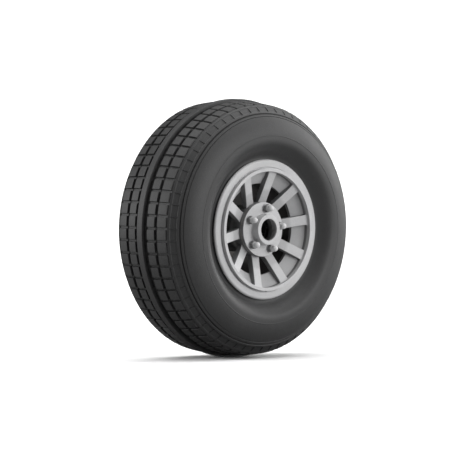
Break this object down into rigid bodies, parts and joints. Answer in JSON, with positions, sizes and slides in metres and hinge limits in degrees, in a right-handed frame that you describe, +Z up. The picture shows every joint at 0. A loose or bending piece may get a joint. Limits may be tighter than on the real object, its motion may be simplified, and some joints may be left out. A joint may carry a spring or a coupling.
{
  "type": "aircraft wheel",
  "caption": "Aircraft main wheel: block-tread tyre on a spoked cast rim with removable flange, brake drum, roller bearings and hub cover.",
  "frame": {"origin": "centre of the axle bore in the wheel's middle plane", "axes": "+Y along the axle towards the aircraft (inboard), -Y outboard, +Z up"},
  "size_m": [0.686, 0.291, 0.6858],
  "materials": {
    "tyre": "matte",
    "tube_rubber": "matte",
    "brass": "satin",
    "black_steel": "satin",
    "cast_alloy": "satin grey",
    "cap_alloy": "satin grey",
    "dark_steel": "matte",
    "bright_steel": "satin",
    "bearing_steel": "polished",
    "gasket": "matte",
    "felt": "matte"
  },
  "bodies": {
    "axle_set": {"axle_sleeve": "bearing_steel", "cone_spacer": "bearing_steel", "outboard_cone": "bearing_steel", "inboard_cone": "bearing_steel", "tab_washer": "bright_steel", "bearing_nut": "bearing_steel"},
    "wheel": {"tyre": "tyre", "inner_tube": "tube_rubber", "valve_stem": "brass", "valve_nut": "brass", "valve_cap": "black_steel", "wheel_casting": "cast_alloy", "outer_flange": "cast_alloy", "flange_lock_ring": "bright_steel", "brake_drum": "dark_steel", "drum_bolts": "bright_steel", "hub_cover": "cast_alloy", "cover_gasket": "gasket", "cover_studs": "bright_steel", "cover_washers": "bright_steel", "cover_cap_nuts": "cap_alloy", "outboard_cup": "bearing_steel", "inboard_cup": "bearing_steel", "seal_case": "bright_steel", "seal_felt": "felt", "seal_snap_ring": "bright_steel"},
    "outboard_rolling": {"outboard_rollers": "bearing_steel", "outboard_cage": "brass"},
    "inboard_rolling": {"inboard_rollers": "bearing_steel", "inboard_cage": "brass"}
  },
  "joints": [
    {"name": "wheel_spin", "type": "hinge", "parent": "axle_set", "child": "wheel", "pos_m": [0, 0, 0], "axis": [0, 1, 0], "continuous": true},
    {"name": "outboard_roller_spin", "type": "hinge", "parent": "axle_set", "child": "outboard_rolling", "pos_m": [0, -0.0685, 0], "axis": [0, 1, 0], "continuous": true},
    {"name": "inboard_roller_spin", "type": "hinge", "parent": "axle_set", "child": "inboard_rolling", "pos_m": [0, 0.0685, 0], "axis": [0, 1, 0], "continuous": true}
  ],
  "couplings": [
    {"joint": "outboard_roller_spin", "follows": "wheel_spin", "ratio": 0.549},
    {"joint": "inboard_roller_spin", "follows": "wheel_spin", "ratio": 0.549}
  ]
}
